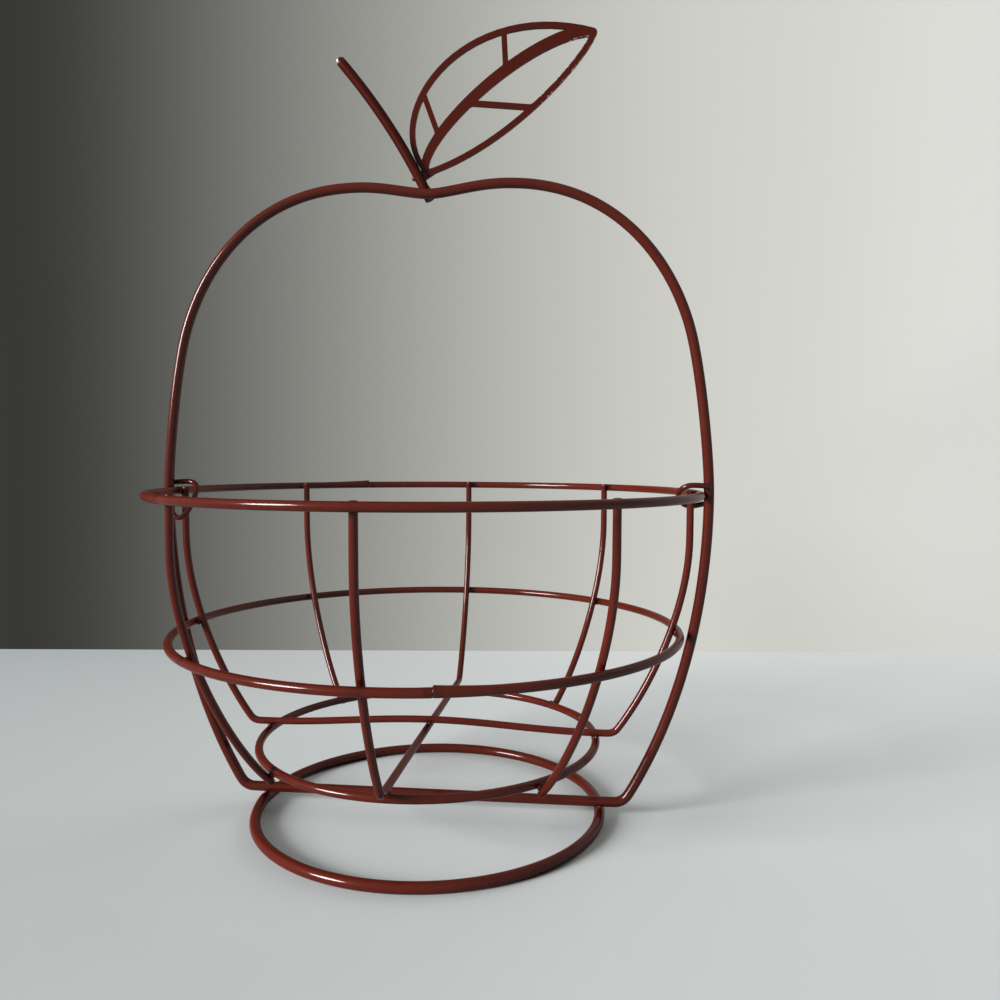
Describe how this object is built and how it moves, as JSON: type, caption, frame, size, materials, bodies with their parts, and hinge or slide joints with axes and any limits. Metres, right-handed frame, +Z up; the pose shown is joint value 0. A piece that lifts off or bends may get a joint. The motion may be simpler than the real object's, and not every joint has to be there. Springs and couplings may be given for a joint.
{
  "type": "wire fruit basket",
  "caption": "Enamelled wire fruit basket with an apple-shaped outline handle, stem and leaf, and a round open bowl that swings in eyes at its rim.",
  "frame": {"origin": "on the floor, under the middle of the bowl and of the foot ring", "axes": "+Z up; the apple's outline wire lies in the XZ plane with the leaf towards +X; -Y is the front"},
  "size_m": [0.268, 0.2578, 0.3772],
  "materials": {
    "enamel_wire": "semi-gloss red-brown enamel on steel wire",
    "enamel_sheet": "semi-gloss red-brown enamel on cut steel sheet, chipped at some edges"
  },
  "bodies": {
    "frame": {"frame_wire": "enamel_wire", "foot_ring": "enamel_wire", "stem": "enamel_wire", "leaf": "enamel_sheet", "hanger_eye_left": "enamel_wire", "hanger_eye_right": "enamel_wire"},
    "bowl": {"rim_ring": "enamel_wire", "middle_ring": "enamel_wire", "base_ring": "enamel_wire", "long_rib_side": "enamel_wire", "long_rib_front": "enamel_wire", "short_rib_front_left": "enamel_wire", "short_rib_front_right": "enamel_wire", "short_rib_back_left": "enamel_wire", "short_rib_back_right": "enamel_wire"}
  },
  "joints": [
    {"name": "bowl_swing", "type": "hinge", "parent": "frame", "child": "bowl", "pos_m": [0, 0, 0.1551], "axis": [1, 0, 0], "range_deg": [-12, 12]}
  ]
}
